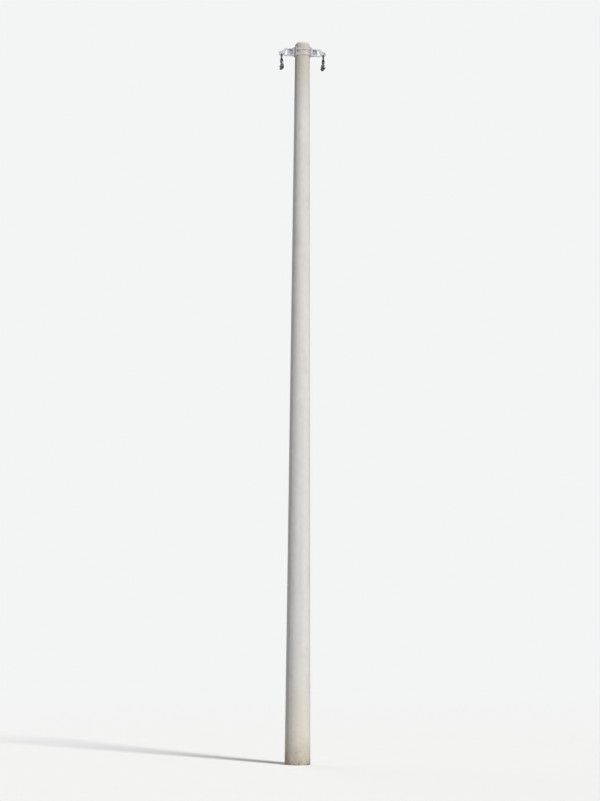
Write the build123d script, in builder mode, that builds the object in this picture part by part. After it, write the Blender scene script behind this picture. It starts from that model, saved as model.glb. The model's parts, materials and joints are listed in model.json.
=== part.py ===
from build123d import *
import os
from math import acos, asin, atan2, cos, degrees, hypot, radians, sin

# Spun concrete utility pole with two suspension brackets and hanging clamps, from ground level up.
# Millimetres, +Z up, origin on the pole's axis at the ground, brackets along X, line along Y.

# Concrete shaft, tapered and hollow
shaft_height = 7320.0
ground_diameter = 260.0
top_diameter = 150.0
ground_wall = 53.0
top_wall = 45.0
shaft_arris = 4.0

# Mortar cap, domed, with a plug down the bore
cap_rise = 30.0
cap_inset = 1.5
crown_fall = 6.0
shoulder_width = 23.5
plug_depth = 90.0
plug_clearance = 0.3

# Bracket foot, set down from the shaft's top
foot_drop = 29.0
foot_height = 98.0
foot_half_width = 48.0
foot_thickness = 9.0
foot_corner = 3.5
seat_clearance = 0.3

# Bracket arm, with its gussets at the foot, pockets, rib and window
upper_step = 12.0
lower_step = 6.0
arm_root_half = 13.0
arm_round = 2.0
arm_end_margin = 0.5
gusset_half = 34.0
gusset_reach = 36.0
gusset_drop = 16.0
gusset_sag = 4.5
web_thickness = 7.0
rim_depth = 14.0
pocket_offset = 20.7
pocket_corner = 6.0
pocket_draft = 8.0
rib_width = 10.0
window_length = 30.0
window_upper_margin = 15.5
window_lower_margin = 2.5
window_corner = 5.0

# Eye at the arm's end: its place, its hole and the rounded ring about it
eye_reach = 215.0
eye_rise = 27.0
eye_hole_radius = 11.0
eye_outer_radius = 28.5
eye_half_thickness = 7.0
upper_join_angle = 112.0
lower_join_angle = 212.0

# Stainless straps and their buckles
upper_strap_drop = 21.0
lower_strap_rise = 24.0
strap_width = 20.0
strap_thickness = 0.7
strap_clearance = 0.2
slot_margin = 1.5
slot_room = 2.9
buckle_angle = -78.0
buckle_length = 26.0
buckle_wall = 1.2
buckle_clearance = 0.25
ear_length = 6.0
tail_overhang = 4.0
tail_lift = 2.5

# Link that hangs from the eye
link_thickness = 12.0
link_bar_depth = 13.0
link_edge_round = 5.0
link_clearance = 0.4
link_room = 8.1
boss_radius = 13.0
pin_drop = 68.0

# Pin between the link and the clamp
pin_radius = 5.0
pin_head_radius = 8.0
pin_head_height = 3.0
pin_fit = 0.15
fork_clearance = 0.4

# Clamp body, measured from the centre of its groove
groove_drop = 83.0
groove_radius = 7.5
groove_flare = 10.0
flare_lip = 3.0
clamp_length = 110.0
cradle_wall = 6.5
wall_thickness = 10.0
shoulder_height = 43.0
shoulder_half_length = 17.0
shoulder_depth = 10.0
shoulder_reach = 10.0
rim_height = 5.0
flank_sag = 9.0
clamp_rib_thickness = 4.0
clamp_rib_depth = 5.0
clamp_rib_spacing = 17.0
clamp_rib_rows = 3
fork_thickness = 6.0
fork_radius = 14.0
boss_room = 5.0
fork_bridge = 9.0
neck_half_width = 7.5
neck_half_length = 13.0

# Keeper that closes the groove
keeper_clearance = 0.4
keeper_length = 64.0
keeper_top_length = 36.0
keeper_wall = 6.0
keeper_gap = 0.6
keeper_top_gap = 1.2

# Bolt and nut through the keeper
bolt_radius = 5.0
bolt_hole_clearance = 0.4
hex_across_flats = 16.0
head_height = 6.4
nut_height = 8.0
flange_radius = 10.5
flange_height = 2.0
flange_seat = 0.2
thread_end = 3.0
thread_chamfer = 1.0
thread_fit = 0.1

ground_radius = ground_diameter / 2
top_radius = top_diameter / 2
bore_ground_radius = ground_radius - ground_wall
bore_top_radius = top_radius - top_wall


def along_shaft(at_ground, at_top, level):
    """Value that runs evenly from the ground to the top of the shaft."""
    return at_ground + (at_top - at_ground) * level / shaft_height


def pole_radius(level):
    """Outer radius of the shaft at a level."""
    return along_shaft(ground_radius, top_radius, level)


foot_top = shaft_height - foot_drop
foot_bottom = foot_top - foot_height
arm_top = foot_top - upper_step
arm_bottom = foot_bottom + lower_step
seat_radius = pole_radius(foot_bottom) + seat_clearance
back_radius = seat_radius - foot_thickness
foot_radius = seat_radius + foot_thickness
foot_half_angle = degrees(asin((foot_half_width - foot_corner) / (foot_radius - foot_corner)))
eye_level = arm_bottom + eye_rise
eye_bar = eye_outer_radius - eye_hole_radius
arm_end = eye_reach - eye_outer_radius - arm_end_margin
window_upper_end = eye_reach - eye_outer_radius - window_upper_margin
window_lower_end = eye_reach - eye_outer_radius - window_lower_margin
window_start = window_lower_end - window_length
pocket_start = foot_radius + pocket_offset
pocket_end = window_start - rib_width
pocket_height = arm_top - arm_bottom - 2 * rim_depth
pocket_fillet = min(pocket_corner, (pocket_end - pocket_start) / 3, pocket_height / 3)
window_fillet = min(window_corner, (window_upper_end - window_start) / 3)
upper_strap_level = foot_top - upper_strap_drop
lower_strap_level = foot_bottom + lower_strap_rise
slot_height = strap_width + 2 * slot_margin
slot_depth = strap_thickness + slot_room
link_opening_radius = (eye_bar + link_clearance + link_room) / 2
link_fillet = min(link_edge_round, link_thickness / 2.4, link_bar_depth / 2.4)
loop_centre = eye_level - eye_hole_radius + link_clearance - link_opening_radius
pin_level = eye_level - pin_drop
fork_inner = link_thickness / 2 + fork_clearance
fork_outer = fork_inner + fork_thickness
fork_gap_depth = boss_radius + boss_room
groove_level = pin_level - groove_drop
flare_radius = groove_radius + flare_lip
cradle_radius = groove_radius + cradle_wall
wall_face = wall_thickness - cradle_radius
keeper_reach = groove_radius + keeper_wall
keeper_top = shoulder_height - shoulder_depth - keeper_top_gap
bolt_height = (groove_radius + keeper_top) / 2


def export(part, name):
    """Label a finished piece and write its STEP file."""
    part.label = name
    export_step(part, f"parts/{name}.step")


os.makedirs("parts", exist_ok=True)

# Shaft
with BuildPart() as pole_shaft:
    with BuildSketch(Plane.XZ):
        Polygon(
            (bore_ground_radius, 0),
            (ground_radius, 0),
            (top_radius, shaft_height),
            (bore_top_radius, shaft_height),
            align=None,
        )
    revolve(axis=Axis.Z)
    chamfer(pole_shaft.faces().sort_by(Axis.Z)[-1].outer_wire().edges(), shaft_arris)

# Cap: a low crown, a round shoulder and the plug below
with BuildPart() as pole_cap:
    cap_radius = top_radius - shaft_arris - cap_inset
    crown_radius = cap_radius - shoulder_width
    plug_radius = bore_top_radius - plug_clearance
    cap_top = shaft_height + cap_rise
    with BuildSketch(Plane.XZ):
        with BuildLine():
            crown = ThreePointArc(
                (0, cap_top),
                (crown_radius / 2, cap_top - crown_fall / 4),
                (crown_radius, cap_top - crown_fall),
            )
            shoulder = TangentArc(crown @ 1, (cap_radius, shaft_height), tangent=crown % 1)
            Polyline(
                shoulder @ 1,
                (plug_radius, shaft_height),
                (plug_radius, shaft_height - plug_depth),
                (0, shaft_height - plug_depth),
                crown @ 0,
            )
        make_face()
    revolve(axis=Axis.Z)

def ring_point(angle):
    """Point on the eye's outer edge in side view."""
    turn = radians(angle)
    return (eye_reach + eye_outer_radius * cos(turn), eye_level + eye_outer_radius * sin(turn))


def on_arm(edge):
    """Whether an edge runs along the arm's top, bottom or end, clear of the foot and the eye."""
    middle = edge @ 0.5
    eye_distance = hypot(middle.X - eye_reach, middle.Z - eye_level)
    return middle.X > foot_radius and eye_distance > eye_outer_radius + arm_round


# Bracket casting, made for the +X side
with BuildPart() as bracket:
    # Arm in side view: top edge falling from the foot, both ends sloping in to the eye's ring
    with BuildSketch(Plane.XZ):
        Polygon(
            (back_radius, arm_bottom),
            (back_radius, foot_top),
            (foot_radius + slot_depth, foot_top),
            (pocket_start, arm_top),
            (arm_end, arm_top),
            ring_point(upper_join_angle),
            ring_point(lower_join_angle),
            (arm_end, arm_bottom),
            align=None,
        )
    extrude(amount=foot_half_width, both=True)
    # Arm in plan: wide gusset at the foot, as thin as the eye at its end
    with BuildSketch(Plane.XY.offset(foot_bottom)):
        with BuildLine():
            root = (back_radius, gusset_half)
            gusset_start = (foot_radius - gusset_drop, gusset_half)
            gusset_end = (foot_radius + gusset_reach, arm_root_half)
            Line((back_radius, 0), root)
            Line(root, gusset_start)
            SagittaArc(gusset_start, gusset_end, -gusset_sag)
            Polyline(
                gusset_end,
                (arm_end, eye_half_thickness),
                (eye_reach, eye_half_thickness),
                (eye_reach, 0),
            )
            mirror(about=Plane.XZ)
        make_face()
    extrude(amount=foot_height, mode=Mode.INTERSECT)
    fillet(bracket.edges().filter_by(Axis.Z, reverse=True).filter_by(on_arm), arm_round)
    # Pockets each side of the web, and the window through it
    for face_side in (1, -1):
        with BuildSketch(Plane.XZ.offset(face_side * web_thickness / 2)):
            pocket = Polygon(
                (pocket_start, arm_bottom + rim_depth),
                (pocket_start, arm_top - rim_depth),
                (pocket_end, arm_top - rim_depth),
                (pocket_end, arm_bottom + rim_depth),
                align=None,
            )
            fillet(pocket.vertices(), pocket_fillet)
        extrude(amount=face_side * foot_half_width, taper=-pocket_draft, mode=Mode.SUBTRACT)
    with BuildSketch(Plane.XZ):
        window = Polygon(
            (window_start, arm_bottom + rim_depth),
            (window_start, arm_top - rim_depth),
            (window_upper_end, arm_top - rim_depth),
            (window_lower_end, arm_bottom + rim_depth),
            align=None,
        )
        fillet(window.vertices(), window_fillet)
        with Locations((eye_reach, eye_level)):
            Circle(eye_outer_radius - eye_half_thickness)
    extrude(amount=foot_half_width, both=True, mode=Mode.SUBTRACT)
    # Eye: a ring whose inner and outer edges are fully rounded
    with BuildSketch(Plane.XY.offset(eye_level)):
        with Locations((eye_reach + eye_hole_radius + eye_bar / 2, 0)):
            SlotOverall(eye_bar, 2 * eye_half_thickness)
    revolve(axis=Axis((eye_reach, 0, eye_level), (0, 1, 0)))
    # Curved foot that lies on the pole, with rounded sides for the straps to bend over
    with BuildSketch(Plane.XY.offset(foot_bottom)):
        with BuildLine():
            CenterArc((0, 0), foot_radius, 0, foot_half_angle)
            corner = Vector(foot_radius - foot_corner, 0).rotate(Axis.Z, foot_half_angle)
            side = CenterArc(corner, foot_corner, foot_half_angle, 90)
            back = (side @ 1) - Vector(2 * foot_thickness - foot_corner, 0).rotate(Axis.Z, foot_half_angle)
            Polyline(side @ 1, back, (back_radius, 0))
            mirror(about=Plane.XZ)
        make_face()
    extrude(amount=foot_height)
    # Slots for the straps
    for level in (upper_strap_level, lower_strap_level):
        with BuildSketch(Plane.XY.offset(level - slot_height / 2)):
            Circle(foot_radius + slot_depth)
            Circle(foot_radius, mode=Mode.SUBTRACT)
        extrude(amount=slot_height, mode=Mode.SUBTRACT)
    # Seat cut to the pole's taper
    with BuildSketch(Plane.XZ):
        Polygon(
            (0, foot_bottom - foot_thickness),
            (pole_radius(foot_bottom - foot_thickness) + seat_clearance, foot_bottom - foot_thickness),
            (pole_radius(foot_top + foot_thickness) + seat_clearance, foot_top + foot_thickness),
            (0, foot_top + foot_thickness),
            align=None,
        )
    revolve(axis=Axis.Z, mode=Mode.SUBTRACT)


def strap_outline(pole_r, foot_r, corner_r):
    """Closed outline round the pole and over both feet, tangent all the way."""
    edge_angle = foot_half_angle
    corner_distance = foot_r - corner_r
    leave_angle = edge_angle + degrees(acos((pole_r - corner_r) / corner_distance))
    corner = Vector(corner_distance, 0).rotate(Axis.Z, edge_angle)
    touch = Vector(pole_r, 0).rotate(Axis.Z, leave_angle)
    with BuildSketch() as outline:
        with BuildLine():
            CenterArc((0, 0), foot_r, 0, edge_angle)
            bend = CenterArc(corner, corner_r, edge_angle, leave_angle - edge_angle)
            Line(bend @ 1, touch)
            CenterArc((0, 0), pole_r, leave_angle, 90 - leave_angle)
            mirror(about=Plane.YZ)
            mirror(about=Plane.XZ)
        make_face()
    return outline.sketch


def strap_frame_point(level, along, out):
    """Point beside the buckle: along the strap and out from the pole, in plan."""
    turn = radians(buckle_angle)
    reach = pole_radius(level - strap_width / 2) + strap_clearance + out
    return (reach * cos(turn) - along * sin(turn), reach * sin(turn) + along * cos(turn))


tail_height = strap_thickness + buckle_wall + 2 * buckle_clearance + strap_thickness / 2


def make_strap(level):
    """Strap with its tail drawn through the buckle and bent up."""
    pole_r = pole_radius(level - strap_width / 2) + strap_clearance
    foot_r = foot_radius + strap_clearance
    corner_r = foot_corner + strap_clearance
    middle_r = pole_r + strap_thickness / 2
    half = buckle_length / 2
    start = strap_frame_point(level, -half, tail_height)
    end = strap_frame_point(level, half, tail_height)
    lifted = strap_frame_point(level, half + tail_overhang, tail_height + tail_lift)
    start_angle = degrees(atan2(start[1], start[0]))
    fall = degrees(acos(middle_r / hypot(*start)))
    landing = Vector(middle_r, 0).rotate(Axis.Z, start_angle - fall)
    with BuildPart() as strap:
        with BuildSketch(Plane.XY.offset(level - strap_width / 2)):
            add(strap_outline(
                pole_r + strap_thickness, foot_r + strap_thickness, corner_r + strap_thickness
            ))
            add(strap_outline(pole_r, foot_r, corner_r), mode=Mode.SUBTRACT)
            with BuildLine():
                Polyline(landing, start, end, lifted)
            trace(line_width=strap_thickness)
        extrude(amount=strap_width)
    return strap.part


def make_buckle(level):
    """Folded buckle: a base under the tail and two ears bent over it."""
    turn = radians(buckle_angle)
    out = (cos(turn), sin(turn), 0)
    along = (-sin(turn), cos(turn), 0)
    foot = pole_radius(level - strap_width / 2) + strap_clearance + strap_thickness + buckle_clearance
    origin = Vector(*out) * foot + Vector(0, 0, level)
    inside_height = strap_thickness + 2 * buckle_clearance
    inside_half = strap_width / 2 + 2 * buckle_clearance
    outside_half = inside_half + buckle_wall
    height = inside_height + 2 * buckle_wall
    with BuildPart() as buckle:
        with BuildSketch(Plane(origin=origin, x_dir=out, z_dir=along)):
            with Locations((height / 2, 0)):
                RectangleRounded(height, 2 * outside_half, buckle_wall / 2)
            with Locations((buckle_wall + inside_height / 2, 0)):
                Rectangle(inside_height, 2 * inside_half, mode=Mode.SUBTRACT)
            with Locations((height, 0)):
                Rectangle(2 * buckle_wall, 2 * (inside_half - ear_length), mode=Mode.SUBTRACT)
        extrude(amount=buckle_length / 2, both=True)
    return buckle.part


# Link: a pear-shaped loop through the eye, narrowing to the pin's boss
with BuildPart() as link:
    with BuildSketch(Plane.YZ.offset(eye_reach)):
        with Locations((0, loop_centre)):
            Circle(link_opening_radius + link_bar_depth)
        with Locations((0, pin_level)):
            Circle(boss_radius)
        make_hull()
        with Locations((0, loop_centre)):
            Circle(link_opening_radius, mode=Mode.SUBTRACT)
    extrude(amount=link_thickness / 2, both=True)
    fillet(link.edges().filter_by(Plane.YZ), link_fillet)
    with BuildSketch(Plane.YZ.offset(eye_reach)):
        with Locations((0, pin_level)):
            Circle(pin_radius + pin_fit)
    extrude(amount=link_thickness, both=True, mode=Mode.SUBTRACT)

# Pin, headed at both ends
with BuildPart() as link_pin:
    with BuildSketch(Plane.YZ.offset(eye_reach)):
        with Locations((0, pin_level)):
            Circle(pin_radius)
    extrude(amount=fork_outer + fork_clearance + pin_head_height, both=True)
    for head_side in (1, -1):
        head_start = eye_reach + head_side * (fork_outer + fork_clearance)
        with BuildSketch(Plane.YZ.offset(head_start)):
            with Locations((0, pin_level)):
                Circle(pin_head_radius)
        extrude(amount=head_side * pin_head_height)

clamp_plane = Plane(origin=(eye_reach, 0, groove_level), x_dir=(1, 0, 0), z_dir=(0, -1, 0))
side_plane = Plane(origin=(eye_reach, 0, groove_level), x_dir=(0, 1, 0), z_dir=(1, 0, 0))

# Clamp body: fork, neck, shoulder, ribbed back wall and cradle
with BuildPart() as clamp_body:
    with BuildSketch(clamp_plane):
        Circle(cradle_radius)
        with Locations((0, cradle_radius)):
            Rectangle(2 * cradle_radius, 2 * cradle_radius, mode=Mode.SUBTRACT)
        with Locations((-cradle_radius, 0)):
            Rectangle(wall_thickness, shoulder_height, align=(Align.MIN, Align.MIN))
            with Locations((0, shoulder_height)):
                Rectangle(
                    cradle_radius + shoulder_reach, shoulder_depth, align=(Align.MIN, Align.MAX)
                )
    extrude(amount=clamp_length / 2, both=True)
    # Ribs up the back wall, clear of the bolt's head
    for rib_side in (1, -1):
        for row in range(1, clamp_rib_rows + 1):
            with BuildSketch(clamp_plane.offset(rib_side * row * clamp_rib_spacing)):
                with Locations((-cradle_radius, -cradle_radius / 2)):
                    Rectangle(
                        2 * clamp_rib_depth,
                        shoulder_height + cradle_radius / 2,
                        align=(Align.CENTER, Align.MIN),
                    )
            extrude(amount=clamp_rib_thickness / 2, both=True)
    # Side outline: long cradle, flanks rising in an arc to the shoulder
    with BuildSketch(side_plane):
        with BuildLine():
            foot_line = Line((0, -cradle_radius), (clamp_length / 2, -cradle_radius))
            end_line = Line(foot_line @ 1, (clamp_length / 2, rim_height))
            flank = SagittaArc(end_line @ 1, (shoulder_half_length, shoulder_height), flank_sag)
            Line(flank @ 1, (0, shoulder_height))
            mirror(about=Plane.YZ)
        make_face()
    extrude(amount=2 * cradle_radius, both=True, mode=Mode.INTERSECT)
    # Neck, bridge and fork
    with BuildSketch(side_plane):
        with Locations((0, shoulder_height - shoulder_depth / 2)):
            Rectangle(
                2 * neck_half_length,
                groove_drop - fork_gap_depth - shoulder_height + shoulder_depth / 2,
                align=(Align.CENTER, Align.MIN),
            )
    extrude(amount=neck_half_width, both=True)
    with BuildSketch(side_plane):
        with Locations((0, groove_drop)):
            Circle(fork_radius)
            Rectangle(2 * fork_radius, fork_gap_depth + fork_bridge, align=(Align.CENTER, Align.MAX))
    extrude(amount=fork_outer, both=True)
    with BuildSketch(side_plane):
        with Locations((0, groove_drop - fork_gap_depth)):
            Rectangle(
                4 * fork_radius, 2 * fork_radius + fork_gap_depth, align=(Align.CENTER, Align.MIN)
            )
    extrude(amount=fork_inner, both=True, mode=Mode.SUBTRACT)
    with BuildSketch(side_plane):
        with Locations((0, groove_drop)):
            Circle(pin_radius + 2 * pin_fit)
    extrude(amount=2 * fork_outer, both=True, mode=Mode.SUBTRACT)
    # Groove with flared mouths
    with BuildSketch(clamp_plane):
        Circle(groove_radius)
    extrude(amount=clamp_length / 2, both=True, mode=Mode.SUBTRACT)
    for mouth_side in (1, -1):
        mouth = Plane(
            origin=(eye_reach, mouth_side * (clamp_length / 2 - groove_flare), groove_level),
            x_dir=(1, 0, 0),
            z_dir=(0, mouth_side, 0),
        )
        with BuildSketch(mouth):
            Circle(groove_radius)
        with BuildSketch(mouth.offset(groove_flare)):
            Circle(flare_radius)
        loft(mode=Mode.SUBTRACT)
    # Bolt hole
    with BuildSketch(side_plane):
        with Locations((0, bolt_height)):
            Circle(bolt_radius + bolt_hole_clearance)
    extrude(amount=-2 * cradle_radius, mode=Mode.SUBTRACT)

# Keeper
with BuildPart() as clamp_keeper:
    keeper_inner = wall_face + keeper_clearance
    with BuildSketch(clamp_plane):
        with Locations((keeper_inner, keeper_gap)):
            Rectangle(
                keeper_reach - keeper_inner, keeper_top - keeper_gap, align=(Align.MIN, Align.MIN)
            )
        Circle(groove_radius, mode=Mode.SUBTRACT)
    extrude(amount=keeper_length / 2, both=True)
    with BuildSketch(side_plane):
        Polygon(
            (-keeper_length / 2, 0),
            (keeper_length / 2, 0),
            (keeper_length / 2, rim_height),
            (keeper_top_length / 2, keeper_top),
            (-keeper_top_length / 2, keeper_top),
            (-keeper_length / 2, rim_height),
            align=None,
        )
    extrude(amount=2 * cradle_radius, both=True, mode=Mode.INTERSECT)
    with BuildSketch(side_plane):
        with Locations((0, bolt_height)):
            Circle(bolt_radius + bolt_hole_clearance)
    extrude(amount=2 * cradle_radius, both=True, mode=Mode.SUBTRACT)

nut_seat = keeper_reach + flange_seat
head_seat = -cradle_radius - flange_seat

# Bolt through the wall and the keeper
with BuildPart() as clamp_bolt:
    with BuildSketch(side_plane.offset(head_seat)):
        with Locations((0, bolt_height)):
            Circle(bolt_radius)
    extrude(amount=nut_seat - head_seat + flange_height + nut_height + thread_end)
    chamfer(clamp_bolt.faces().sort_by(Axis.X)[-1].edges(), thread_chamfer)
    with BuildSketch(side_plane.offset(head_seat)):
        with Locations((0, bolt_height)):
            Circle(flange_radius)
    extrude(amount=-flange_height)
    with BuildSketch(side_plane.offset(head_seat - flange_height)):
        with Locations((0, bolt_height)):
            RegularPolygon(hex_across_flats / 2, 6, major_radius=False)
    extrude(amount=-head_height)

# Nut on the keeper
with BuildPart() as clamp_nut:
    with BuildSketch(side_plane.offset(nut_seat)):
        with Locations((0, bolt_height)):
            Circle(flange_radius)
    extrude(amount=flange_height)
    with BuildSketch(side_plane.offset(nut_seat + flange_height)):
        with Locations((0, bolt_height)):
            RegularPolygon(hex_across_flats / 2, 6, major_radius=False)
    extrude(amount=nut_height)
    with BuildSketch(side_plane.offset(nut_seat)):
        with Locations((0, bolt_height)):
            Circle(bolt_radius + thread_fit)
    extrude(amount=flange_height + nut_height, mode=Mode.SUBTRACT)

export(pole_shaft.part, "pole_shaft")
export(pole_cap.part, "pole_cap")
for level, place in ((upper_strap_level, "upper"), (lower_strap_level, "lower")):
    export(make_strap(level), f"{place}_strap")
    export(make_buckle(level), f"{place}_strap_buckle")

side_pieces = {
    "bracket": bracket,
    "link": link,
    "link_pin": link_pin,
    "clamp_body": clamp_body,
    "clamp_keeper": clamp_keeper,
    "clamp_bolt": clamp_bolt,
    "clamp_nut": clamp_nut,
}
for side, turn in (("right", 0), ("left", 180)):
    for piece_name, piece in side_pieces.items():
        with BuildPart() as placed:
            add(piece.part, rotation=(0, 0, turn))
        export(placed.part, f"{side}_{piece_name}")
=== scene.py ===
import json
from math import atan2, cos, pi, radians, sin

import bmesh
import bpy
from mathutils import Matrix, Vector, noise


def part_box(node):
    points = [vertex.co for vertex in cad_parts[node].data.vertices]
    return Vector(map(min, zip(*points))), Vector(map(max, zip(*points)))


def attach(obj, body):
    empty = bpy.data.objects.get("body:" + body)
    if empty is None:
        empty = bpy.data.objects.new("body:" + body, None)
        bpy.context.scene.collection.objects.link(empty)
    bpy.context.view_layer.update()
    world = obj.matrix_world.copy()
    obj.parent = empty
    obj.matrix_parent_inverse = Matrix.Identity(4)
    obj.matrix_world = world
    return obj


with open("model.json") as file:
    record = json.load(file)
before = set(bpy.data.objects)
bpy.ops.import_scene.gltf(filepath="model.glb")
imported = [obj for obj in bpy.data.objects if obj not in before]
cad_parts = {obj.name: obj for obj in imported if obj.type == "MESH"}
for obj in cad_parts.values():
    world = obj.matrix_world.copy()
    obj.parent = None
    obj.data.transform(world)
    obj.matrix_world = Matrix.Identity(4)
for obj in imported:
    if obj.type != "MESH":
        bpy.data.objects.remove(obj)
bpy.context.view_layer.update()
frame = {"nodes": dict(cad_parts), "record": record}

bl_info = {
    "name": "Concrete utility pole",
    "version": (1, 0, 0),
    "blender": (4, 5, 0),
    "location": "3D View > Sidebar > Pole",
    "description": "Finishes and small pieces for a spun concrete pole with suspension clamps",
    "category": "Object",
}

SIDES = ("right", "left")
SHAFT_LOW, SHAFT_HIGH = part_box("pole_shaft")
CAP_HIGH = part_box("pole_cap")[1]

# Levels and radii of the pole, in metres
GROUND_RADIUS = SHAFT_HIGH.x
TOP_RADIUS = 0.075
SHAFT_TOP = SHAFT_HIGH.z
BRACKET_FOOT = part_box("right_bracket")[0].z
MIDDLE = (CAP_HIGH.z + SHAFT_LOW.z) / 2

# Points closer than this are one point, in metres
MERGE = 1e-7

# Mould seams: lengths in metres, the crest as a share of the width, waves to the metre
SEAM_STEP = 0.02
SEAM_SINK = 0.0015
SEAM_WANDER = 0.0012
SEAM_STOP = 0.03
SEAM_FADE = 0.06
SEAM_CREST = 0.3
SEAM_SLOW_WAVE = 3.0
SEAM_QUICK_WAVE = 22.0

# Mortar bead under the cap: lengths in metres, then how its ring is divided
BEAD_SINK = 0.0004
BEAD_UNEVEN = 0.0009
BEAD_SIDES = 8
BEAD_STEPS = 96
BEAD_WAVE = 4.0

# Bolt threads: lengths in metres, half a ridge's foot as a share of the pitch, steps to the turn
BOLT_RADIUS = 0.005
BOLT_CHAMFER = 0.001
THREAD_SINK = 0.0002
THREAD_HALF_FOOT = 0.3
THREAD_STEPS = 24

# How far the faces of a bracket's web and of its rims lie from its middle plane, in metres
WEB_FACE = 0.0038
RIM_FACE = 0.0062

# How far worn edges are rounded and how wide their wear is, in metres
CASTING_EDGE = 0.0008
POLYMER_EDGE = 0.0009
STEEL_EDGE = 0.0005
WORN_EDGE = 0.0012
WORN_STEEL_EDGE = 0.0007

# Share by which rust starts sooner
PIN_RUST = 0.0
BOLT_RUST = 0.06

# Floor, in metres: half its width, and where it fades into the backdrop
FLOOR_HALF = 400.0
FLOOR_FADE = (5.0, 22.0)

# Share of its colour that the floor throws back as light
FLOOR_BOUNCE = 0.55

# Camera: sensor height in millimetres, furthest distance in metres
SENSOR_HEIGHT = 36.0
FURTHEST = 1000.0

# Colours of dirt, wear and weather, and of painted shade
DRIP = (0.46, 0.43, 0.38, 1.0)
BRACKET_RUN = (0.25, 0.22, 0.18, 1.0)
WORN_PATCH = (0.60, 0.51, 0.46, 1.0)
ALGAE = (0.115, 0.12, 0.055, 1.0)
SPLASH = (0.31, 0.25, 0.18, 1.0)
AIR_HOLE_SHADE = (0.21, 0.19, 0.165, 1.0)
LICHEN = (0.60, 0.58, 0.44, 1.0)
MORTAR_GRIME = (0.22, 0.20, 0.16, 1.0)
CRACK = (0.20, 0.18, 0.15, 1.0)
OXIDE = (0.44, 0.45, 0.47, 1.0)
# Grime in the brackets' streaks, and also the colour of the painted shade on their pocket floors
CASTING_GRIME_AND_SHADE = (0.20, 0.195, 0.185, 1.0)
RUBBED_CASTING = (0.68, 0.685, 0.71, 1.0)
STRAP_DUST = (0.50, 0.475, 0.43, 1.0)
TEA_STAIN = (0.25, 0.16, 0.09, 1.0)
CHALK = (0.085, 0.09, 0.095, 1.0)
POLYMER_DUST = (0.17, 0.16, 0.14, 1.0)
SCUFF = (0.12, 0.125, 0.13, 1.0)
ZINC_BLOOM = (0.58, 0.59, 0.60, 1.0)
RUST = (0.23, 0.105, 0.045, 1.0)
BACKDROP = (0.90, 0.905, 0.91, 1.0)
SKY = (0.84, 0.92, 1.0, 1.0)
SUN = (1.0, 0.985, 0.965)


def shaft_radius(level):
    """Outer radius of the shaft at a height."""
    return GROUND_RADIUS + (TOP_RADIUS - GROUND_RADIUS) * level / SHAFT_TOP


class Value:
    """A number that varies over a surface. Python's operators on it add Math nodes."""

    def __init__(self, net, socket):
        self.net = net
        self.socket = socket

    def math(self, operation, *others):
        """This value and others through one Math node."""
        sockets = dict(enumerate((self, *others)))
        made = self.net.node("ShaderNodeMath", {"operation": operation}, sockets)
        return Value(self.net, made.outputs[0])

    def __add__(self, other):
        return self.math("ADD", other)

    __radd__ = __add__

    def __mul__(self, other):
        return self.math("MULTIPLY", other)

    __rmul__ = __mul__

    def __sub__(self, other):
        return self.math("SUBTRACT", other)

    def __rsub__(self, other):
        return self * -1 + other

    def __truediv__(self, other):
        return self.math("DIVIDE", other)

    def root(self):
        return self.math("SQRT")

    def highest(self, other):
        return self.math("MAXIMUM", other)

    def step(self, start, end):
        """0 before start and 1 past end, smooth between them."""
        made = self.net.node(
            "ShaderNodeMapRange",
            {"interpolation_type": "SMOOTHSTEP"},
            {"Value": self, "From Min": start, "From Max": end},
        )
        return Value(self.net, made.outputs["Result"])


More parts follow.
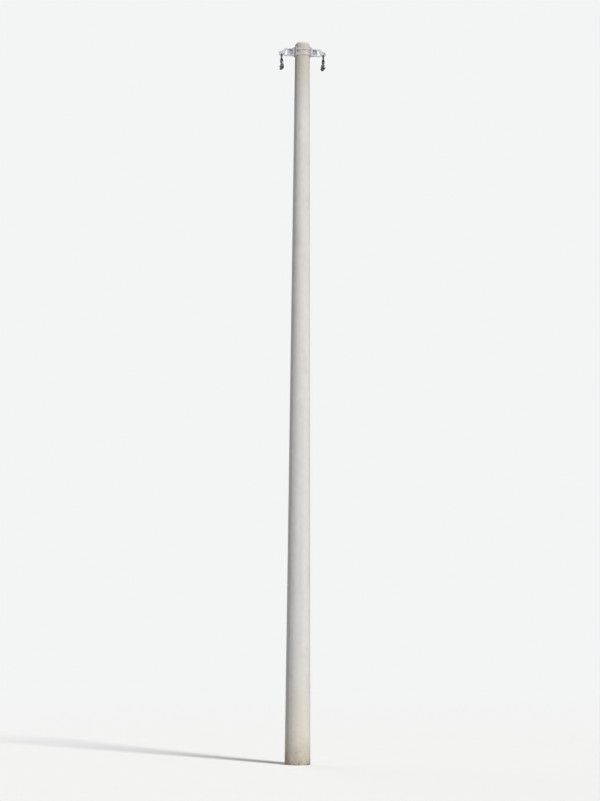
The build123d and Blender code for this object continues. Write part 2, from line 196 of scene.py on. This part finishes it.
class Net:
    """The nodes of one material or world."""

    def __init__(self, owner):
        owner.use_nodes = True
        self.owner = owner
        self.tree = owner.node_tree

    def feed(self, socket, value):
        """Links a socket to a value or an output, or sets it."""
        if isinstance(value, Value):
            value = value.socket
        if isinstance(value, bpy.types.NodeSocket):
            self.tree.links.new(value, socket)
        else:
            socket.default_value = value

    def node(self, kind, settings=None, sockets=None):
        """Adds a node: its settings first, then the values or links of its sockets."""
        made = self.tree.nodes.new(kind)
        for name, value in (settings or {}).items():
            setattr(made, name, value)
        for name, value in (sockets or {}).items():
            self.feed(made.inputs[name], value)
        return made

    def coordinates(self, kind="Object"):
        """Place, or Normal, in the piece's own frame."""
        return self.node("ShaderNodeTexCoord").outputs[kind]

    def split(self, vector):
        """The three numbers of a vector."""
        made = self.node("ShaderNodeSeparateXYZ", None, {"Vector": vector})
        return [Value(self, output) for output in made.outputs]

    def stretch(self, vector, amounts):
        """The vector with each direction scaled by its own amount."""
        sockets = {0: vector, 1: amounts}
        return self.node("ShaderNodeVectorMath", {"operation": "MULTIPLY"}, sockets).outputs["Vector"]

    def shade(self, colour, amount):
        """A colour or vector scaled by one number."""
        sockets = {0: colour, "Scale": amount}
        return self.node("ShaderNodeVectorMath", {"operation": "SCALE"}, sockets).outputs["Vector"]

    def noise(self, vector, scale, detail=3.0, roughness=0.55):
        """Cloudy noise from 0 to 1, about a half."""
        sockets = {"Vector": vector, "Scale": scale, "Detail": detail, "Roughness": roughness}
        return Value(self, self.node("ShaderNodeTexNoise", None, sockets).outputs["Fac"])

    def bend(self, vector, scale, amount):
        """The vector pushed about by noise, so that a pattern on it looks grown."""
        push = self.node("ShaderNodeTexNoise", None, {"Vector": vector, "Scale": scale})
        sockets = {0: vector, 1: self.shade(push.outputs["Color"], amount)}
        return self.node("ShaderNodeVectorMath", {"operation": "ADD"}, sockets).outputs["Vector"]

    def cells(self, vector, scale):
        """Cell noise: the distance to the nearest point, and each cell's own number."""
        made = self.node("ShaderNodeTexVoronoi", {"feature": "F1"}, {"Vector": vector, "Scale": scale})
        own = self.node("ShaderNodeSeparateColor", None, {"Color": made.outputs["Color"]})
        return Value(self, made.outputs["Distance"]), Value(self, own.outputs[0])

    def cell_edges(self, vector, scale):
        """Distance to the lines between the cells."""
        sockets = {"Vector": vector, "Scale": scale}
        made = self.node("ShaderNodeTexVoronoi", {"feature": "DISTANCE_TO_EDGE"}, sockets)
        return Value(self, made.outputs["Distance"])

    def edge_round(self, radius):
        """Normal that rolls over a piece's edges."""
        return self.node("ShaderNodeBevel", {"samples": 6}, {"Radius": radius}).outputs["Normal"]

    def edge_wear(self, radius):
        """How near a sharp edge or corner is, from 0 to 1."""
        flat = self.node("ShaderNodeNewGeometry").outputs["Normal"]
        sockets = {0: self.edge_round(radius), 1: flat}
        made = self.node("ShaderNodeVectorMath", {"operation": "DOT_PRODUCT"}, sockets)
        return (1 - Value(self, made.outputs["Value"])).step(0.01, 0.2)

    def mix(self, factor, first, second):
        """Two colours mixed by a factor."""
        made = self.node("ShaderNodeMix", {"data_type": "RGBA"}, {0: factor, 6: first, 7: second})
        return made.outputs[2]

    def seen(self):
        """1 for rays that show the backdrop: from the camera, off metal and through glass."""
        rays = self.node("ShaderNodeLightPath").outputs
        camera, glossy, passing = (
            Value(self, rays[name]) for name in ("Is Camera Ray", "Is Glossy Ray", "Is Transmission Ray")
        )
        return camera.highest(glossy).highest(passing)

    def finish(self, colour, roughness, metallic, relief, strength, edge=None):
        """Feeds the surface shader, with relief in metres as a bump."""
        shader = self.tree.nodes["Principled BSDF"]
        self.feed(shader.inputs["Base Color"], colour)
        self.feed(shader.inputs["Roughness"], roughness)
        self.feed(shader.inputs["Metallic"], metallic)
        sockets = {"Strength": strength, "Distance": 1.0, "Height": relief}
        if edge is not None:
            sockets["Normal"] = edge
        bump = self.node("ShaderNodeBump", None, sockets)
        self.feed(shader.inputs["Normal"], bump.outputs["Normal"])
        return self.owner


def new_finish(name):
    """Starts a material."""
    return Net(bpy.data.materials.new(name))


def rgba(colour):
    """A property's colour as a socket takes it."""
    return (colour[0], colour[1], colour[2], 1.0)


def concrete_finish(props):
    """Spun concrete: mottling, streaks, air holes, a stained top and a dirty foot."""
    net = new_finish("weathered_concrete")
    place = net.coordinates()
    x, y, z = net.split(place)
    clouds = net.noise(place, 2.3, 4.0)
    mottle = net.noise(place, 17.0, 5.0, 0.6)
    patches = net.noise(net.stretch(place, (9.0, 9.0, 3.0)), 1.0, 5.0, 0.6)
    grain = net.noise(place, 260.0, 3.0)
    streaks = net.noise(net.stretch(place, (30.0, 30.0, 0.3)), 1.0, 4.0)
    drips = net.noise(net.stretch(place, (75.0, 75.0, 1.3)), 1.0, 3.0)

    tone = 0.83 + clouds * 0.1 + mottle * 0.17 + grain * 0.08
    tone = tone - streaks.step(0.48, 0.8) * 0.1 - patches.step(0.5, 0.72) * 0.08
    colour = net.shade(props.concrete_colour, tone)
    colour = net.mix(drips.step(0.56, 0.78) * 0.3, colour, DRIP)

    # Warm stain that fades down from the top, and dark runs under the brackets
    stain = z.step(props.stain_start, SHAFT_TOP - 0.1) * (0.5 + patches * 0.8)
    colour = net.mix(stain, colour, rgba(props.stain_colour))
    toward_bracket = (x * x / (x * x + y * y + 0.0001)).step(0.6, 1.0)
    down_from_bracket = z.step(BRACKET_FOOT - 1.6, BRACKET_FOOT - 0.1)
    under_bracket = 1 - z.step(BRACKET_FOOT - 0.02, BRACKET_FOOT)
    runs = toward_bracket * (down_from_bracket * under_bracket) * drips.step(0.4, 0.66)
    colour = net.mix(runs * 0.55, colour, BRACKET_RUN)

    # Dust film, soil, worn patches, algae and splashes at the foot
    height = z + (mottle - 0.5) * 0.24 + (clouds - 0.5) * 0.3
    film = (1 - height.step(0.1, props.film_height)) * (0.35 + patches * 0.6)
    colour = net.mix(film, colour, rgba(props.film_colour))
    soil = (1 - height.step(0.0, props.dirt_height)) * (0.25 + mottle * 0.85)
    colour = net.mix(soil, colour, rgba(props.dirt_colour))
    worn = net.noise(place, 15.0, 3.0).step(0.54, 0.66) * (1 - z.step(0.1, 0.36))
    colour = net.mix(worn * 0.6, colour, WORN_PATCH)
    algae = (1 - height.step(0.0, 0.12)) * net.noise(place, 26.0, 4.0).step(0.42, 0.6)
    colour = net.mix(algae * 0.85, colour, ALGAE)
    splash = net.noise(place, 95.0, 2.0).step(0.6, 0.7) * (1 - z.step(0.1, 0.8))
    colour = net.mix(splash * 0.4, colour, SPLASH)

    # Air holes of two sizes, with ragged rims and painted shade inside them
    large_distance, large_kind = net.cells(place, 46.0)
    large = 1 - (large_distance + grain * 0.06).step(0.06, 0.1 + large_kind * 0.02)
    small_distance, small_kind = net.cells(place, 150.0)
    small = 1 - (small_distance + grain * 0.1).step(0.1, 0.22)
    holes = (large * large_kind.step(0.7, 0.74)).highest(small * small_kind.step(0.6, 0.66) * 0.6)
    colour = net.mix(holes * 0.7, colour, AIR_HOLE_SHADE)

    relief = clouds * 0.0015 + mottle * 0.0014 + patches * 0.001 + grain * 0.00035 - holes * 0.0012
    return net.finish(colour, 0.95 - mottle * 0.16, 0.0, relief, 0.8)


def mortar_finish(props):
    """Trowelled mortar: swirls, sand, hairline cracks and lichen."""
    net = new_finish("trowelled_mortar")
    place = net.coordinates()
    z = net.split(place)[2]
    swirl = net.noise(net.stretch(place, (22.0, 60.0, 40.0)), 1.0, 4.0)
    mottle = net.noise(place, 48.0, 5.0, 0.65)
    sand = net.noise(place, 520.0, 3.0, 0.6)
    # Hairlines that wander, and show only here and there
    lines = net.cell_edges(net.bend(net.bend(place, 34.0, 0.011), 190.0, 0.0024), 13.0)
    shown = net.noise(place, 21.0, 3.0).step(0.49, 0.6)
    cracks = (1 - lines.step(0.0, 0.008)) * shown
    lichen = net.noise(place, 62.0, 4.0).step(0.56, 0.64) * z.step(SHAFT_TOP - 0.01, CAP_HIGH.z)
    grime = (1 - z.step(SHAFT_TOP - 0.002, SHAFT_TOP + 0.012)) * (0.2 + mottle * 0.7)
    colour = net.shade(props.mortar_colour, 0.74 + swirl * 0.24 + mottle * 0.24 + sand * 0.1)
    colour = net.mix(lichen * 0.6, colour, LICHEN)
    colour = net.mix(grime * 0.8, colour, MORTAR_GRIME)
    colour = net.mix(cracks * 0.5, colour, CRACK)
    relief = swirl * 0.0036 + mottle * 0.0022 + sand * 0.0004 - cracks * 0.0006
    return net.finish(colour, 0.95 - swirl * 0.1, 0.0, relief, 0.85)


def aluminium_finish(props):
    """Sand cast aluminium: a pebbled skin, dull oxide, grime in the streaks, painted shade on the
    pockets' floors and rubbed edges.
    """
    net = new_finish("cast_aluminium")
    place = net.coordinates()
    skin = net.noise(place, 620.0, 4.0, 0.6)
    pebbles = net.cells(place, 900.0)[0]
    oxide = net.noise(place, 38.0, 4.0)
    blotch = net.noise(place, 11.0, 3.0)
    drips = net.noise(net.stretch(place, (170.0, 170.0, 14.0)), 1.0, 3.0)
    dull = oxide.step(0.44, 0.68)
    grime = drips.step(0.5, 0.72) * blotch.step(0.4, 0.6)
    rubbed = net.edge_wear(WORN_EDGE) * oxide.step(0.3, 0.55)
    # Painted shade on the floors of the pockets, which makes them darker than the rims
    y = net.split(place)[1]
    sideways = net.split(net.coordinates("Normal"))[1]
    bottom = (1 - (y * y).step(WEB_FACE ** 2, RIM_FACE ** 2)) * (sideways * sideways).step(0.2, 0.8)
    pocket_shade = bottom * (0.7 + blotch * 0.6)
    colour = net.shade(props.aluminium_colour, 0.8 + skin * 0.16 + oxide * 0.16)
    colour = net.mix(dull * 0.5, colour, OXIDE)
    # Painted shade on the pockets' floors, in the grime's colour
    colour = net.mix(pocket_shade * 0.42, colour, CASTING_GRIME_AND_SHADE)
    colour = net.mix(grime * 0.38, colour, CASTING_GRIME_AND_SHADE)
    colour = net.mix(rubbed * 0.6, colour, RUBBED_CASTING)
    relief = skin * 0.00032 + pebbles * 0.00018 + oxide * 0.0003
    roughness = 0.44 + oxide * 0.28 + grime * 0.2 - rubbed * 0.14
    metallic = 0.72 - dull * 0.14 - grime * 0.12 - pocket_shade * 0.15
    return net.finish(colour, roughness, metallic, relief, 0.75, net.edge_round(CASTING_EDGE))


def strap_finish(props):
    """Stainless band: rolling lines along it, a dusty film and tea stain."""
    net = new_finish("strap_steel")
    place = net.coordinates()
    rolling = net.noise(net.stretch(place, (7.0, 7.0, 1500.0)), 1.0, 3.0)
    film = net.noise(place, 30.0, 4.0)
    speck = net.noise(place, 260.0, 3.0)
    stain = film.step(0.52, 0.74) * speck.step(0.42, 0.62)
    dusty = film.step(0.38, 0.6)
    colour = net.shade(props.strap_colour, 0.78 + rolling * 0.4)
    colour = net.mix(dusty * 0.45, colour, STRAP_DUST)
    colour = net.mix(stain * 0.6, colour, TEA_STAIN)
    relief = rolling * 0.00009 + speck * 0.00004
    roughness = 0.28 + dusty * 0.22 + stain * 0.3
    metallic = 0.82 - dusty * 0.18 - stain * 0.5
    return net.finish(colour, roughness, metallic, relief, 0.7)


def polymer_finish(name, polymer_colour):
    """Glass filled polymer: fine grain, flow marks, bleached patches, dusty tops and scuffed edges."""
    net = new_finish(name)
    place = net.coordinates()
    upward = net.split(net.coordinates("Normal"))[2]
    grain = net.noise(place, 1300.0, 3.0)
    flow = net.noise(net.stretch(place, (60.0, 60.0, 240.0)), 1.0, 3.0)
    patch = net.noise(place, 46.0, 4.0)
    dust = upward.step(0.2, 0.95) * (0.25 + patch * 0.55)
    scuff = net.edge_wear(WORN_EDGE) * net.noise(place, 190.0, 3.0).step(0.34, 0.6)
    colour = net.shade(polymer_colour, 0.75 + grain * 0.35 + flow * 0.25)
    colour = net.mix(patch.step(0.46, 0.72) * 0.2, colour, CHALK)
    colour = net.mix(dust * 0.5, colour, POLYMER_DUST)
    colour = net.mix(scuff * 0.55, colour, SCUFF)
    relief = grain * 0.00016 + flow * 0.00012
    roughness = 0.46 + patch * 0.24 + dust * 0.2
    return net.finish(colour, roughness, 0.0, relief, 0.7, net.edge_round(POLYMER_EDGE))


def galvanised_finish(name, zinc_colour, rust_amount):
    """Zinc coated steel: spangle, white bloom and rust where it is worn."""
    net = new_finish(name)
    place = net.coordinates()
    spangle = net.cells(place, 420.0)[1]
    bloom = net.noise(place, 150.0, 4.0)
    wear = net.noise(place, 260.0, 5.0, 0.65)
    rust = (wear + net.edge_wear(WORN_STEEL_EDGE) * 0.12).step(0.62 - rust_amount, 0.76 - rust_amount)
    colour = net.shade(zinc_colour, 0.8 + spangle * 0.25 + bloom * 0.1)
    colour = net.mix(bloom.step(0.5, 0.75) * 0.4, colour, ZINC_BLOOM)
    colour = net.mix(rust * 0.75, colour, RUST)
    relief = spangle * 0.00005 + wear * 0.00012 + rust * 0.00015
    roughness = 0.4 + bloom * 0.2 + rust * 0.3
    metallic = 0.82 - rust * 0.7
    return net.finish(colour, roughness, metallic, relief, 0.6, net.edge_round(STEEL_EDGE))


def toward(azimuth, elevation):
    """Direction to a point seen from the pole, with azimuth 0 at the front, on its -Y side."""
    level = cos(elevation)
    return Vector((sin(azimuth) * level, -cos(azimuth) * level, sin(elevation)))


def add_sun(context, name, strength, azimuth, elevation, spread):
    """Adds a soft distant light."""
    light = bpy.data.lights.new(name, "SUN")
    light.energy = strength
    light.angle = spread
    light.color = SUN
    lamp = bpy.data.objects.new(name, light)
    lamp.rotation_euler = (-toward(azimuth, elevation)).to_track_quat("-Z", "Y").to_euler()
    context.scene.collection.objects.link(lamp)


def new_piece(name, shape, material, body):
    """Makes an object from a bmesh, rides it on a body and gives it its finish."""
    bmesh.ops.remove_doubles(shape, verts=shape.verts, dist=MERGE)
    bmesh.ops.recalc_face_normals(shape, faces=shape.faces)
    mesh = bpy.data.meshes.new(name)
    shape.to_mesh(mesh)
    shape.free()
    for polygon in mesh.polygons:
        polygon.use_smooth = True
    piece = bpy.data.objects.new(name, mesh)
    bpy.context.scene.collection.objects.link(piece)
    mesh.materials.append(material)
    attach(piece, body)


def assign(node, material):
    """Gives a carried-over piece its finish, in every slot it has."""
    mesh = frame["nodes"][node].data
    mesh.materials.clear()
    mesh.materials.append(material)


class PoleSizes(bpy.types.PropertyGroup):
    """Sizes of the small pieces on the pole."""

    seam_angle: bpy.props.FloatProperty(
        name="Seam angle", description="Where the first mould seam lies, from the right-hand bracket",
        default=radians(218.0), subtype="ANGLE",
    )
    seam_width: bpy.props.FloatProperty(
        name="Seam width", description="Width of the mould seam", default=0.006, unit="LENGTH",
    )
    seam_height: bpy.props.FloatProperty(
        name="Seam height", description="How far the mould seam stands out",
        default=0.0012, unit="LENGTH",
    )
    bead_radius: bpy.props.FloatProperty(
        name="Bead radius", description="Size of the mortar bead under the cap",
        default=0.0017, unit="LENGTH",
    )
    thread_pitch: bpy.props.FloatProperty(
        name="Thread pitch", description="Pitch of the bolts' thread", default=0.0015, unit="LENGTH",
    )
    thread_depth: bpy.props.FloatProperty(
        name="Thread depth", description="Height of the bolts' thread", default=0.0003, unit="LENGTH",
    )


class PoleFinishes(bpy.types.PropertyGroup):
    """Colours and extents of the finishes."""

    concrete_colour: bpy.props.FloatVectorProperty(
        name="Concrete", description="Clean concrete", default=(0.655, 0.64, 0.62), subtype="COLOR",
    )
    stain_colour: bpy.props.FloatVectorProperty(
        name="Top stain", description="Warm stain at the top",
        default=(0.53, 0.495, 0.42), subtype="COLOR",
    )
    stain_start: bpy.props.FloatProperty(
        name="Stain start", description="Height where the top stain starts",
        default=SHAFT_TOP - 0.82, unit="LENGTH",
    )
    dirt_colour: bpy.props.FloatVectorProperty(
        name="Foot dirt", description="Soil thrown up on the foot",
        default=(0.36, 0.31, 0.22), subtype="COLOR",
    )
    film_colour: bpy.props.FloatVectorProperty(
        name="Foot film", description="Thin dust on the lowest metre",
        default=(0.65, 0.59, 0.50), subtype="COLOR",
    )
    film_height: bpy.props.FloatProperty(
        name="Film height", description="How high the dust film reaches", default=1.5, unit="LENGTH",
    )
    dirt_height: bpy.props.FloatProperty(
        name="Dirt height", description="How high the foot's dirt reaches", default=0.3, unit="LENGTH",
    )
    mortar_colour: bpy.props.FloatVectorProperty(
        name="Mortar", description="Cap mortar", default=(0.56, 0.52, 0.43), subtype="COLOR",
    )
    aluminium_colour: bpy.props.FloatVectorProperty(
        name="Aluminium", description="Bracket castings", default=(0.495, 0.51, 0.55), subtype="COLOR",
    )
    strap_colour: bpy.props.FloatVectorProperty(
        name="Strap", description="Stainless straps", default=(0.60, 0.595, 0.58), subtype="COLOR",
    )
    link_colour: bpy.props.FloatVectorProperty(
        name="Link", description="Links' polymer", default=(0.026, 0.030, 0.036), subtype="COLOR",
    )
    clamp_colour: bpy.props.FloatVectorProperty(
        name="Clamp", description="Clamps' polymer", default=(0.014, 0.017, 0.022), subtype="COLOR",
    )
    zinc_colour: bpy.props.FloatVectorProperty(
        name="Zinc", description="Bolts, nuts and pins", default=(0.56, 0.565, 0.57), subtype="COLOR",
    )


class PoleStage(bpy.types.PropertyGroup):
    """Floor, light and camera."""

    floor_colour: bpy.props.FloatVectorProperty(
        name="Floor", description="Floor the pole stands on",
        default=(0.685, 0.685, 0.68), subtype="COLOR",
    )
    key_strength: bpy.props.FloatProperty(
        name="Key light", description="Strength of the main light", default=3.7,
    )
    key_turn: bpy.props.FloatProperty(
        name="Key turn", description="Main light's direction, from the camera's", default=radians(35.5),
        subtype="ANGLE",
    )
    key_height: bpy.props.FloatProperty(
        name="Key height", description="Main light's angle above the ground", default=radians(51.0),
        subtype="ANGLE",
    )
    key_spread: bpy.props.FloatProperty(
        name="Key spread", description="How wide the main light looks", default=radians(9.0),
        subtype="ANGLE",
    )
    back_strength: bpy.props.FloatProperty(
        name="Back light", description="Strength of the weak light from behind", default=0.75,
    )
    back_turn: bpy.props.FloatProperty(
        name="Back turn", description="Weak light's direction, from the camera's",
        default=radians(215.5), subtype="ANGLE",
    )
    back_height: bpy.props.FloatProperty(
        name="Back height", description="Weak light's angle above the ground", default=radians(35.0),
        subtype="ANGLE",
    )
    back_spread: bpy.props.FloatProperty(
        name="Back spread", description="How wide the weak light looks", default=radians(45.0),
        subtype="ANGLE",
    )
    sky_strength: bpy.props.FloatProperty(
        name="Soft light", description="Strength of the light from all round", default=0.23,
    )
    camera_azimuth: bpy.props.FloatProperty(
        name="View azimuth", description="Direction the camera stands in",
        default=radians(-8.44), subtype="ANGLE",
    )
    camera_distance: bpy.props.FloatProperty(
        name="View distance", description="From the camera to the pole", default=30.2, unit="LENGTH",
    )
    camera_height: bpy.props.FloatProperty(
        name="View height", description="Camera height above the ground", default=1.79, unit="LENGTH",
    )
    camera_lens: bpy.props.FloatProperty(
        name="Lens", description="Focal length in millimetres", default=134.0,
    )
    camera_roll: bpy.props.FloatProperty(
        name="Roll", description="Lean of the view", default=radians(0.4), subtype="ANGLE",
    )


class POLE_OT_finishes(bpy.types.Operator):
    """Give every carried-over piece its finish"""

    bl_idname = "pole.finishes"
    bl_label = "Finishes"

    def execute(self, context):
        props = context.scene.pole_finishes
        finishes = {
            "concrete": concrete_finish(props),
            "mortar": mortar_finish(props),
            "cast_aluminium": aluminium_finish(props),
            "strap_steel": strap_finish(props),
            "link_polymer": polymer_finish("link_polymer", props.link_colour),
            "clamp_polymer": polymer_finish("clamp_polymer", props.clamp_colour),
            "pin_steel": galvanised_finish("pin_steel", props.zinc_colour, PIN_RUST),
            "bolt_steel": galvanised_finish("bolt_steel", props.zinc_colour, BOLT_RUST),
        }
        for part in frame["record"]["subparts"]:
            assign(part["node"], finishes[part["material_slot"]])
        return {"FINISHED"}


class POLE_OT_mould_seams(bpy.types.Operator):
    """Add the two mould seams that run up the shaft to below the brackets"""

    bl_idname = "pole.mould_seams"
    bl_label = "Mould seams"

    def execute(self, context):
        sizes = context.scene.pole_sizes
        concrete = frame["nodes"]["pole_shaft"].data.materials[0]
        top = BRACKET_FOOT - SEAM_STOP
        for index, name in enumerate(("first_mould_seam", "second_mould_seam")):
            # A cube stretched up the shaft, with its sides cut into short runs
            shape = bmesh.new()
            bmesh.ops.create_cube(shape, size=1.0)
            upright = [
                edge for edge in shape.edges if abs(edge.verts[0].co.z - edge.verts[1].co.z) > 0.5
            ]
            cuts = int(top / SEAM_STEP)
            bmesh.ops.subdivide_edges(shape, edges=upright, cuts=cuts, use_grid_fill=True)
            for vert in shape.verts:
                level = (vert.co.z + 0.5) * top
                slow = noise.noise(Vector((index * 7.0, 0.0, level * SEAM_SLOW_WAVE)))
                wander = slow * SEAM_WANDER
                rough = noise.noise(Vector((index * 5.0, 3.0, level * SEAM_QUICK_WAVE)))
                fade = min(1.0, (top - level) / SEAM_FADE)
                outer = vert.co.x > 0
                height = sizes.seam_height * (0.7 + 0.5 * rough) * fade if outer else -SEAM_SINK
                breadth = sizes.seam_width * (SEAM_CREST if outer else 1.0) * (1.0 + 0.5 * rough)
                vert.co = Vector((shaft_radius(level) + height, vert.co.y * breadth + wander, level))
            turn = Matrix.Rotation(sizes.seam_angle + index * pi, 3, "Z")
            bmesh.ops.rotate(shape, verts=shape.verts, cent=(0, 0, 0), matrix=turn)
            new_piece(name, shape, concrete, "pole")
        return {"FINISHED"}


class POLE_OT_cap_bead(bpy.types.Operator):
    """Add the uneven bead of mortar squeezed out under the cap"""

    bl_idname = "pole.cap_bead"
    bl_label = "Cap bead"

    def execute(self, context):
        mortar = frame["nodes"]["pole_cap"].data.materials[0]
        radius = context.scene.pole_sizes.bead_radius
        # A ring spun round the pole, then swollen unevenly
        shape = bmesh.new()
        bmesh.ops.create_circle(shape, segments=BEAD_SIDES, radius=radius, cap_ends=False)
        upright = Matrix.Rotation(pi / 2, 3, "X")
        bmesh.ops.rotate(shape, verts=shape.verts, cent=(0, 0, 0), matrix=upright)
        rim = (CAP_HIGH.x - BEAD_SINK, 0, SHAFT_TOP + radius / 2)
        bmesh.ops.translate(shape, verts=shape.verts, vec=rim)
        bmesh.ops.spin(
            shape, geom=shape.verts[:] + shape.edges[:], cent=(0, 0, 0), axis=(0, 0, 1), dvec=(0, 0, 0),
            angle=2 * pi, steps=BEAD_STEPS, use_merge=True, use_duplicate=False,
        )
        for vert in shape.verts:
            turn = atan2(vert.co.y, vert.co.x)
            spot = Vector((cos(turn) * BEAD_WAVE, sin(turn) * BEAD_WAVE, 1.0))
            swell = noise.noise(spot) * BEAD_UNEVEN
            outward = vert.co.xy.normalized() * swell
            vert.co += Vector((outward.x, outward.y, swell * 0.5))
        new_piece("cap_mortar_bead", shape, mortar, "pole")
        return {"FINISHED"}


class POLE_OT_bolt_threads(bpy.types.Operator):
    """Add the thread on the end of each clamp bolt"""

    bl_idname = "pole.bolt_threads"
    bl_label = "Bolt threads"

    def execute(self, context):
        sizes = context.scene.pole_sizes
        pitch = sizes.thread_pitch
        for side in SIDES:
            bolt_low, bolt_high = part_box(f"{side}_clamp_bolt")
            nut_low, nut_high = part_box(f"{side}_clamp_nut")
            on_right = side == "right"
            nut_face, bolt_end = (nut_high.x, bolt_high.x) if on_right else (-nut_low.x, -bolt_low.x)
            # One ridge, spun from a turn inside the nut to the bolt's chamfer
            start = nut_face - pitch
            turns = (bolt_end - BOLT_CHAMFER - start) / pitch
            shape = bmesh.new()
            foot = THREAD_HALF_FOOT
            ridge = ((-foot, -THREAD_SINK), (0.0, sizes.thread_depth), (foot, -THREAD_SINK))
            corners = [
                shape.verts.new((start + pitch * along, 0.0, BOLT_RADIUS + out)) for along, out in ridge
            ]
            profile = shape.faces.new(corners)
            steps = int(THREAD_STEPS * turns)
            bmesh.ops.spin(
                shape, geom=[profile], cent=(0, 0, 0), axis=(1, 0, 0), dvec=(turns * pitch / steps, 0, 0),
                angle=2 * pi * turns, steps=steps, use_merge=False, use_duplicate=False,
            )
            if not on_right:
                half_turn = Matrix.Rotation(pi, 3, "Z")
                bmesh.ops.rotate(shape, verts=shape.verts, cent=(0, 0, 0), matrix=half_turn)
            bmesh.ops.translate(shape, verts=shape.verts, vec=(0, 0, (bolt_low.z + bolt_high.z) / 2))
            steel = frame["nodes"][f"{side}_clamp_bolt"].data.materials[0]
            new_piece(f"{side}_bolt_thread", shape, steel, f"{side}_clamp")
        return {"FINISHED"}


class POLE_OT_stage(bpy.types.Operator):
    """Set the floor, the light and the camera"""

    bl_idname = "pole.stage"
    bl_label = "Stage"

    def execute(self, context):
        props = context.scene.pole_stage
        self.add_floor(context, props)
        for light in ("key", "back"):
            turn, height, strength, spread = (
                getattr(props, f"{light}_{part}") for part in ("turn", "height", "strength", "spread")
            )
            add_sun(context, f"{light}_light", strength, props.camera_azimuth + turn, height, spread)
        self.set_world(context, props)
        self.add_camera(context, props)
        return {"FINISHED"}

    def add_floor(self, context, props):
        """Wide floor that keeps the pole's shadow and fades into the backdrop."""
        shape = bmesh.new()
        bmesh.ops.create_grid(shape, x_segments=1, y_segments=1, size=FLOOR_HALF)
        mesh = bpy.data.meshes.new("floor")
        shape.to_mesh(mesh)
        shape.free()
        floor = bpy.data.objects.new("floor", mesh)
        context.scene.collection.objects.link(floor)
        net = new_finish("pale_floor")
        place = net.coordinates()
        x, y, _ = net.split(place)
        speckle = net.noise(place, 3.0, 2.0)
        seen = net.seen()
        # Dimmer for the light it throws back, so that the pole keeps its shaded side
        tone = (0.985 + speckle * 0.03) * (FLOOR_BOUNCE + seen * (1 - FLOOR_BOUNCE))
        net.finish(net.shade(props.floor_colour, tone), 0.9, 0.0, speckle * 0.0001, 0.1)
        glow = net.node("ShaderNodeEmission", None, {"Color": BACKDROP, "Strength": 1.0})
        away = (x * x + y * y).root().step(*FLOOR_FADE)
        surface = net.tree.nodes["Principled BSDF"].outputs[0]
        sockets = {0: away * seen, 1: surface, 2: glow.outputs[0]}
        blend = net.node("ShaderNodeMixShader", None, sockets)
        net.feed(net.tree.nodes["Material Output"].inputs["Surface"], blend.outputs[0])
        mesh.materials.append(net.owner)

    def set_world(self, context, props):
        """Even light from all round, with a plain pale backdrop."""
        context.scene.world = bpy.data.worlds.new("studio")
        net = Net(context.scene.world)
        soft = net.tree.nodes["Background"]
        net.feed(soft.inputs["Color"], SKY)
        net.feed(soft.inputs["Strength"], props.sky_strength)
        backdrop = net.node("ShaderNodeBackground", None, {"Color": BACKDROP, "Strength": 1.0})
        sockets = {0: net.seen(), 1: soft.outputs[0], 2: backdrop.outputs[0]}
        blend = net.node("ShaderNodeMixShader", None, sockets)
        net.feed(net.tree.nodes["World Output"].inputs["Surface"], blend.outputs[0])
        context.scene.view_settings.view_transform = "Standard"

    def add_camera(self, context, props):
        """Camera at the photograph's viewpoint, framed on the pole."""
        camera = bpy.data.cameras.new("camera")
        camera.sensor_fit = "VERTICAL"
        camera.sensor_height = SENSOR_HEIGHT
        camera.lens = props.camera_lens
        camera.clip_end = FURTHEST
        view = bpy.data.objects.new("camera", camera)
        across = toward(props.camera_azimuth, 0.0) * props.camera_distance
        place = across + Vector((0.0, 0.0, props.camera_height))
        facing = (Vector((0.0, 0.0, MIDDLE)) - place).to_track_quat("-Z", "Y").to_matrix()
        facing = facing @ Matrix.Rotation(props.camera_roll, 3, "Z")
        view.matrix_world = Matrix.Translation(place) @ facing.to_4x4()
        context.scene.collection.objects.link(view)
        context.scene.camera = view


class POLE_PT_panel(bpy.types.Panel):
    """Sizes, finishes and steps of the pole"""

    bl_idname = "POLE_PT_panel"
    bl_label = "Concrete utility pole"
    bl_space_type = "VIEW_3D"
    bl_region_type = "UI"
    bl_category = "Pole"

    def draw(self, context):
        layout = self.layout
        for step in STEPS:
            layout.operator(step.bl_idname)
        for group_name, group in GROUPS.items():
            box = layout.box()
            for name in group.__annotations__:
                box.prop(getattr(context.scene, group_name), name)


GROUPS = {"pole_sizes": PoleSizes, "pole_finishes": PoleFinishes, "pole_stage": PoleStage}
STEPS = (
    POLE_OT_finishes,
    POLE_OT_mould_seams,
    POLE_OT_cap_bead,
    POLE_OT_bolt_threads,
    POLE_OT_stage,
)


def register():
    for group_name, group in GROUPS.items():
        bpy.utils.register_class(group)
        setattr(bpy.types.Scene, group_name, bpy.props.PointerProperty(type=group))
    for cls in (*STEPS, POLE_PT_panel):
        bpy.utils.register_class(cls)


def unregister():
    for cls in (*STEPS, POLE_PT_panel):
        bpy.utils.unregister_class(cls)
    for group_name, group in GROUPS.items():
        delattr(bpy.types.Scene, group_name)
        bpy.utils.unregister_class(group)


def main():
    register()
    bpy.ops.pole.finishes()
    bpy.ops.pole.mould_seams()
    bpy.ops.pole.cap_bead()
    bpy.ops.pole.bolt_threads()
    bpy.ops.pole.stage()


if __name__ == "__main__":
    main()
